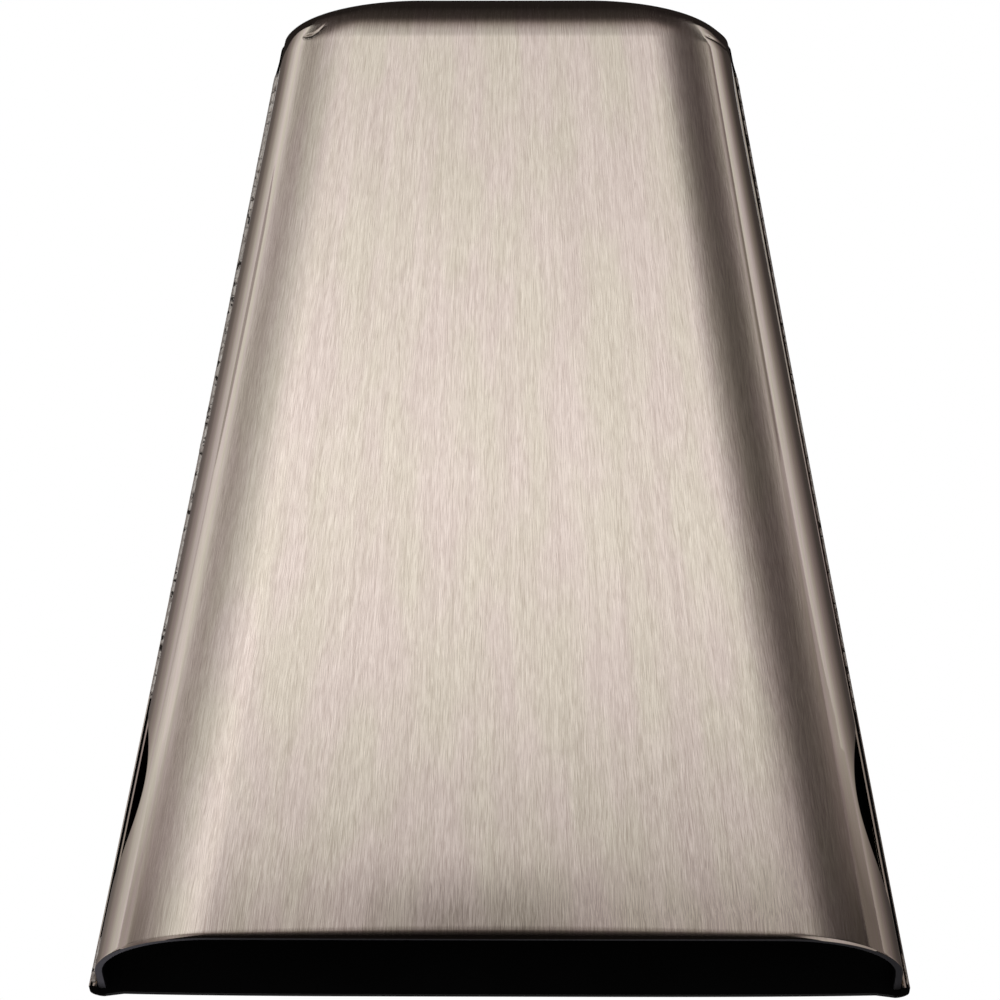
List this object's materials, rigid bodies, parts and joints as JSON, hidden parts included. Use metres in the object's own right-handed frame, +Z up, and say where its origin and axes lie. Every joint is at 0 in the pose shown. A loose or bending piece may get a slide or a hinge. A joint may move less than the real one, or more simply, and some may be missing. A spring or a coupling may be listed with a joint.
{
  "type": "hand cowbell",
  "caption": "Tapered hand cowbell of welded sheet steel: flat striking face with round shoulders, open mouth, closed end, flat back and a slot in each side wall.",
  "frame": {"origin": "middle of the flat back's underside, under the centre of the bell's box", "axes": "+X across the bell, +Y from the mouth to the closed end, +Z up out of the striking face"},
  "size_m": [0.149, 0.2, 0.0315],
  "materials": {
    "brushed_sheet": "satin, brushed along the length of the bell, dark and unbrushed inside",
    "weld_metal": "rough rippled bead with dark specks"
  },
  "bodies": {
    "root": {"front_shell": "brushed_sheet", "back_shell": "brushed_sheet", "seam_weld_left": "weld_metal", "seam_weld_right": "weld_metal", "mouth_tack_left": "weld_metal", "mouth_tack_right": "weld_metal", "end_weld": "weld_metal"}
  },
  "joints": []
}
